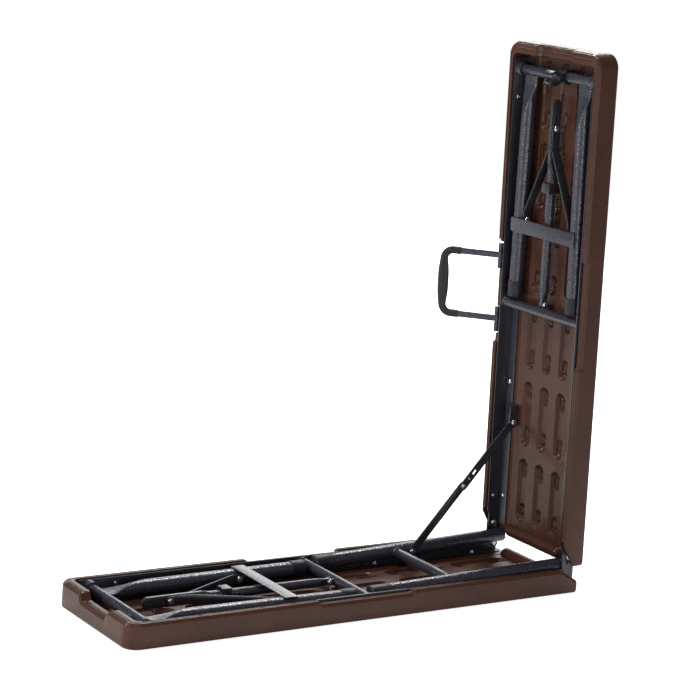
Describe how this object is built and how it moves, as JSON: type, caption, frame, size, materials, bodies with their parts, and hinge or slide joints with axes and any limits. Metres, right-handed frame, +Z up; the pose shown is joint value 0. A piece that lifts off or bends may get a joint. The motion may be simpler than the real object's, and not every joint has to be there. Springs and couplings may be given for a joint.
{
  "type": "folding bench table",
  "caption": "Narrow fold-in-half bench table with moulded halves, folding end legs, centre legs at the fold, a locking stay and a carry handle; shown half open.",
  "frame": {"origin": "centre of the lower half's seat face, on the surface it lies on", "axes": "+X along the lower half to the fold, +Y across towards the carry handle, +Z up"},
  "size_m": [0.9228, 0.3433, 0.9633],
  "materials": {
    "panel_plastic": "blow-moulded brown polyethylene with a fine grain",
    "steel": "dark grey hammered powder coat",
    "zinc": "bright zinc plate",
    "black_plastic": "black moulded plastic"
  },
  "bodies": {
    "lower_half": {"lower_panel": "panel_plastic", "lower_rail_near": "steel", "lower_rail_far": "steel", "lower_screws": "zinc", "lower_hinge_bolts": "zinc", "lower_bushes": "steel", "lower_cross_tube": "steel", "lower_strut_pin": "zinc"},
    "lower_leg": {"lower_pivot_tube": "steel", "lower_leg_near": "steel", "lower_leg_far": "steel", "lower_feet": "black_plastic", "lower_strap": "steel", "lower_leg_bolts": "zinc"},
    "lower_strut": {"lower_strut": "steel"},
    "lower_lock_ring": {"lower_lock_ring": "steel"},
    "lower_yoke": {"lower_yoke_near": "steel", "lower_yoke_far": "steel", "lower_yoke_rivets": "zinc"},
    "upper_half": {"upper_panel": "panel_plastic", "upper_rail_near": "steel", "upper_rail_far": "steel", "upper_screws": "zinc", "upper_hinge_bolts": "zinc", "upper_bushes": "steel", "upper_cross_tube": "steel", "upper_strut_pin": "zinc", "stay_lug": "steel", "stay_lug_rivet": "zinc", "handle_brackets": "steel"},
    "upper_leg": {"upper_pivot_tube": "steel", "upper_leg_near": "steel", "upper_leg_far": "steel", "upper_feet": "black_plastic", "upper_strap": "steel", "upper_leg_bolts": "zinc"},
    "upper_strut": {"upper_strut": "steel"},
    "upper_lock_ring": {"upper_lock_ring": "steel"},
    "upper_yoke": {"upper_yoke_near": "steel", "upper_yoke_far": "steel", "upper_yoke_rivets": "zinc"},
    "centre_leg": {"centre_link_near": "steel", "centre_link_far": "steel", "centre_leg_near": "steel", "centre_leg_far": "steel", "centre_cross_tube": "steel", "centre_feet": "black_plastic", "centre_bolts": "zinc"},
    "stay_upper": {"stay_upper_bar": "steel", "stay_middle_rivet": "zinc"},
    "stay_lower": {"stay_lower_bar": "steel"},
    "handle": {"handle_bail": "steel", "handle_grip": "black_plastic"},
    "latch": {"closing_latch": "black_plastic"}
  },
  "joints": [
    {"name": "fold_lower", "type": "hinge", "parent": "lower_half", "child": "centre_leg", "pos_m": [0.4405, 0, 0.026], "axis": [0, 1, 0], "range_deg": [0, 92.93]},
    {"name": "fold_upper", "type": "hinge", "parent": "centre_leg", "child": "upper_half", "pos_m": [0.4385, 0, 0.06515], "axis": [0, 1, 0], "range_deg": [-87.07, 0]},
    {"name": "stay_lower_turn", "type": "hinge", "parent": "centre_leg", "child": "stay_lower", "pos_m": [0.2316, 0, 0.03904], "axis": [0, 1, 0], "range_deg": [0, 51.79]},
    {"name": "stay_upper_turn", "type": "hinge", "parent": "upper_half", "child": "stay_upper", "pos_m": [0.43012, 0, 0.26799], "axis": [0, 1, 0], "range_deg": [-30.79, 0]},
    {"name": "lower_leg_fold", "type": "hinge", "parent": "lower_half", "child": "lower_leg", "pos_m": [-0.4085, 0, 0.03], "axis": [0, -1, 0], "range_deg": [0, 90]},
    {"name": "lower_strut_turn", "type": "hinge", "parent": "lower_half", "child": "lower_strut", "pos_m": [0, 0, 0.03], "axis": [0, 1, 0], "range_deg": [0, 33.27]},
    {"name": "lower_yoke_turn", "type": "hinge", "parent": "lower_leg", "child": "lower_yoke", "pos_m": [-0.1425, 0, 0.03], "axis": [0, -1, 0], "range_deg": [0, 57.13]},
    {"name": "lower_ring_slide", "type": "slide", "parent": "lower_strut", "child": "lower_lock_ring", "axis": [-1, 0, 0], "range_m": [-0.04, 0.03]},
    {"name": "upper_leg_fold", "type": "hinge", "parent": "upper_half", "child": "upper_leg", "pos_m": [0.3911, 0, 0.91283], "axis": [0, 1, 0], "range_deg": [0, 90]},
    {"name": "upper_strut_turn", "type": "hinge", "parent": "upper_half", "child": "upper_strut", "pos_m": [0.41198, 0, 0.50487], "axis": [0, -1, 0], "range_deg": [0, 33.27]},
    {"name": "upper_yoke_turn", "type": "hinge", "parent": "upper_leg", "child": "upper_yoke", "pos_m": [0.4047, 0, 0.64718], "axis": [0, 1, 0], "range_deg": [0, 57.13]},
    {"name": "upper_ring_slide", "type": "slide", "parent": "upper_strut", "child": "upper_lock_ring", "axis": [-0.0511, 0, 0.9987], "range_m": [-0.04, 0.03]},
    {"name": "handle_swing", "type": "hinge", "parent": "upper_half", "child": "handle", "pos_m": [0.42738, 0.1215, 0.04756], "axis": [-0.0511, 0, 0.9987], "range_deg": [-36, 53]},
    {"name": "latch_turn", "type": "hinge", "parent": "upper_half", "child": "latch", "pos_m": [0.3911, 0, 0.91283], "axis": [0, -1, 0], "range_deg": [0, 60]}
  ],
  "couplings": [
    {"joint": "stay_lower_turn", "follows": "fold_upper", "ratio": -0.5925},
    {"joint": "stay_upper_turn", "follows": "fold_upper", "ratio": 0.35138},
    {"joint": "lower_strut_turn", "follows": "lower_leg_fold", "ratio": 0.36745},
    {"joint": "lower_yoke_turn", "follows": "lower_leg_fold", "ratio": 0.63255},
    {"joint": "upper_strut_turn", "follows": "upper_leg_fold", "ratio": 0.36745},
    {"joint": "upper_yoke_turn", "follows": "upper_leg_fold", "ratio": 0.63255}
  ]
}
